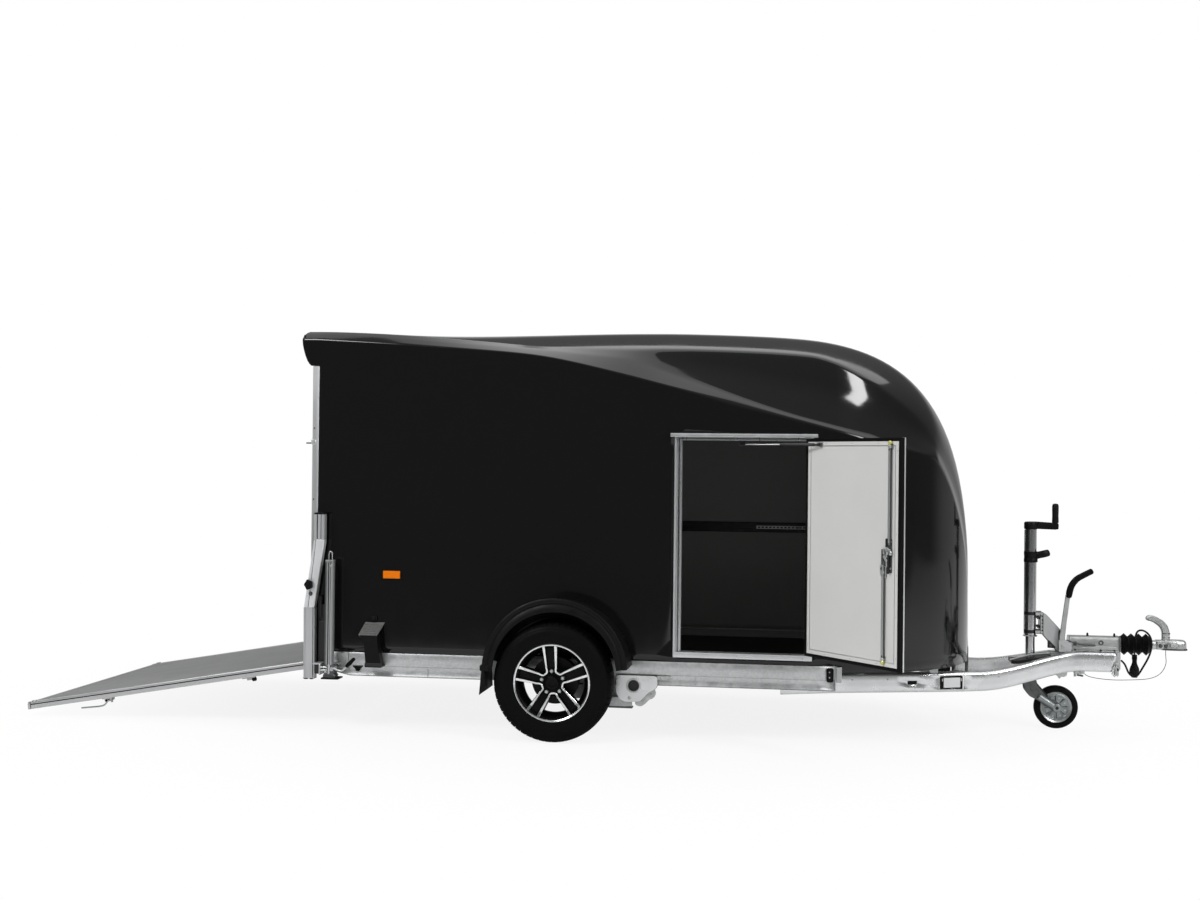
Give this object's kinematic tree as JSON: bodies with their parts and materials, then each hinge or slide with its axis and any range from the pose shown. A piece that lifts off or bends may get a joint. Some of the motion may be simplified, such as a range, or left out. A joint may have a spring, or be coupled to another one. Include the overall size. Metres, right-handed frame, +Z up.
{
  "type": "box trailer",
  "caption": "Closed single-axle box trailer with a boat-shaped nose, rear loading ramp, side door, overrun coupling, jockey wheel and rear stabiliser legs.",
  "frame": {"origin": "centre of the ball socket in the coupling head", "axes": "+X forward, from the load space towards the towing vehicle; +Y to the trailer's left; +Z up"},
  "size_m": [6.1359, 2.3063, 2.1098],
  "materials": {
    "black_gelcoat": "gloss black gelcoat",
    "floor_board": "dark non-slip birch board",
    "galvanised_steel": "hot-dip galvanised",
    "zinc_steel": "bright zinc plated",
    "black_rubber": "matt black rubber",
    "black_plastic": "matt black plastic",
    "tyre_rubber": "black tyre rubber",
    "alloy_rim": "diamond cut with black pockets",
    "cast_drum": "dark cast iron",
    "aluminium_profile": "mill finish",
    "ramp_board": "grey non-slip ramp deck",
    "grey_panel": "light grey inner face",
    "orange_lens": "amber lens",
    "red_lens": "red lens",
    "black_steel": "black painted",
    "black_cable": "black sheathed cable",
    "wire_rope": "plastic-coated wire rope"
  },
  "bodies": {
    "root": {"body_nose": "black_gelcoat", "body_roof": "black_gelcoat", "body_side_left": "black_gelcoat", "body_side_right": "black_gelcoat", "breakaway_wire": "wire_rope", "chassis_crossmembers": "galvanised_steel", "chassis_rails": "galvanised_steel", "coupling_head": "zinc_steel", "coupling_lever": "zinc_steel", "drawbar_arms": "galvanised_steel", "drawbar_bridge": "galvanised_steel", "handbrake_lever": "zinc_steel", "jockey_bracket": "zinc_steel", "jockey_column": "zinc_steel", "jockey_crank": "black_plastic", "lashing_rails": "black_steel", "leg_clamps": "galvanised_steel", "load_floor": "floor_board", "mudguards": "black_plastic", "overrun_gaiter": "black_rubber", "overrun_housing": "zinc_steel", "ramp_hinge": "galvanised_steel", "rear_frame": "aluminium_profile", "rear_lamps": "red_lens", "rear_posts": "aluminium_profile", "side_door_frame": "aluminium_profile", "side_door_hinges": "zinc_steel", "side_markers": "orange_lens", "suspension_arms": "galvanised_steel", "suspension_springs": "black_rubber", "suspension_tube": "galvanised_steel", "trailer_cable": "black_cable", "trailer_plug": "black_plastic", "wheel_chocks": "black_plastic"},
    "wheel_right": {"tyre_right": "tyre_rubber", "rim_right": "alloy_rim", "brake_drum_right": "cast_drum"},
    "wheel_left": {"tyre_left": "tyre_rubber", "rim_left": "alloy_rim", "brake_drum_left": "cast_drum"},
    "jockey_slide": {"jockey_inner_tube": "zinc_steel"},
    "jockey_swivel": {"jockey_fork": "zinc_steel"},
    "jockey_wheel": {"jockey_tyre": "black_rubber", "jockey_rim": "zinc_steel"},
    "ramp": {"ramp_panel": "ramp_board", "ramp_frame": "aluminium_profile", "ramp_latches": "zinc_steel"},
    "side_door": {"side_door_leaf": "grey_panel", "side_door_lock": "zinc_steel", "side_door_hinge_plates": "zinc_steel", "side_door_stay_mount": "zinc_steel"},
    "door_stay_cylinder": {"stay_cylinder": "black_plastic"},
    "door_stay_rod": {"stay_rod": "zinc_steel"},
    "leg_right": {"leg_right": "zinc_steel"},
    "leg_left": {"leg_left": "zinc_steel"}
  },
  "joints": [
    {"name": "wheel_right_spin", "type": "hinge", "parent": "root", "child": "wheel_right", "pos_m": [-3.195, -0.8795, -0.155], "axis": [0, 1, 0], "continuous": true},
    {"name": "wheel_left_spin", "type": "hinge", "parent": "root", "child": "wheel_left", "pos_m": [-3.195, 0.8795, -0.155], "axis": [0, 1, 0], "continuous": true},
    {"name": "jockey_jack", "type": "slide", "parent": "root", "child": "jockey_slide", "axis": [0, 0, 1], "range_m": [-0.12, 0.08]},
    {"name": "jockey_swivel_turn", "type": "hinge", "parent": "jockey_slide", "child": "jockey_swivel", "pos_m": [-0.76, 0, -0.193], "axis": [0, 0, 1], "continuous": true},
    {"name": "jockey_wheel_spin", "type": "hinge", "parent": "jockey_swivel", "child": "jockey_wheel", "pos_m": [-0.625, 0, -0.34], "axis": [0, 1, 0], "continuous": true},
    {"name": "ramp_hinge_turn", "type": "hinge", "parent": "root", "child": "ramp", "pos_m": [-4.533, 0, -0.155], "axis": [0, 1, 0], "range_deg": [0, 99.7]},
    {"name": "side_door_hinge", "type": "hinge", "parent": "root", "child": "side_door", "pos_m": [-1.93, -0.796, 0.545], "axis": [0, 0, 1], "range_deg": [-131, 0]},
    {"name": "door_stay_pivot", "type": "hinge", "parent": "side_door", "child": "door_stay_cylinder", "pos_m": [-1.89501, -0.92008, 1.04], "axis": [0, 0, 1], "range_deg": [0, 156]},
    {"name": "door_stay_slide", "type": "slide", "parent": "door_stay_cylinder", "child": "door_stay_rod", "axis": [-0.9014, 0.4331, 0], "range_m": [-0.194, 0]},
    {"name": "leg_right_slide", "type": "slide", "parent": "root", "child": "leg_right", "axis": [0, 0, 1], "range_m": [-0.27, 0]},
    {"name": "leg_left_slide", "type": "slide", "parent": "root", "child": "leg_left", "axis": [0, 0, 1], "range_m": [-0.27, 0]}
  ],
  "couplings": [
    {"joint": "door_stay_pivot", "follows": "side_door_hinge", "ratio": -1.1901},
    {"joint": "door_stay_slide", "follows": "side_door_hinge", "m_per_rad": 0.08443}
  ]
}
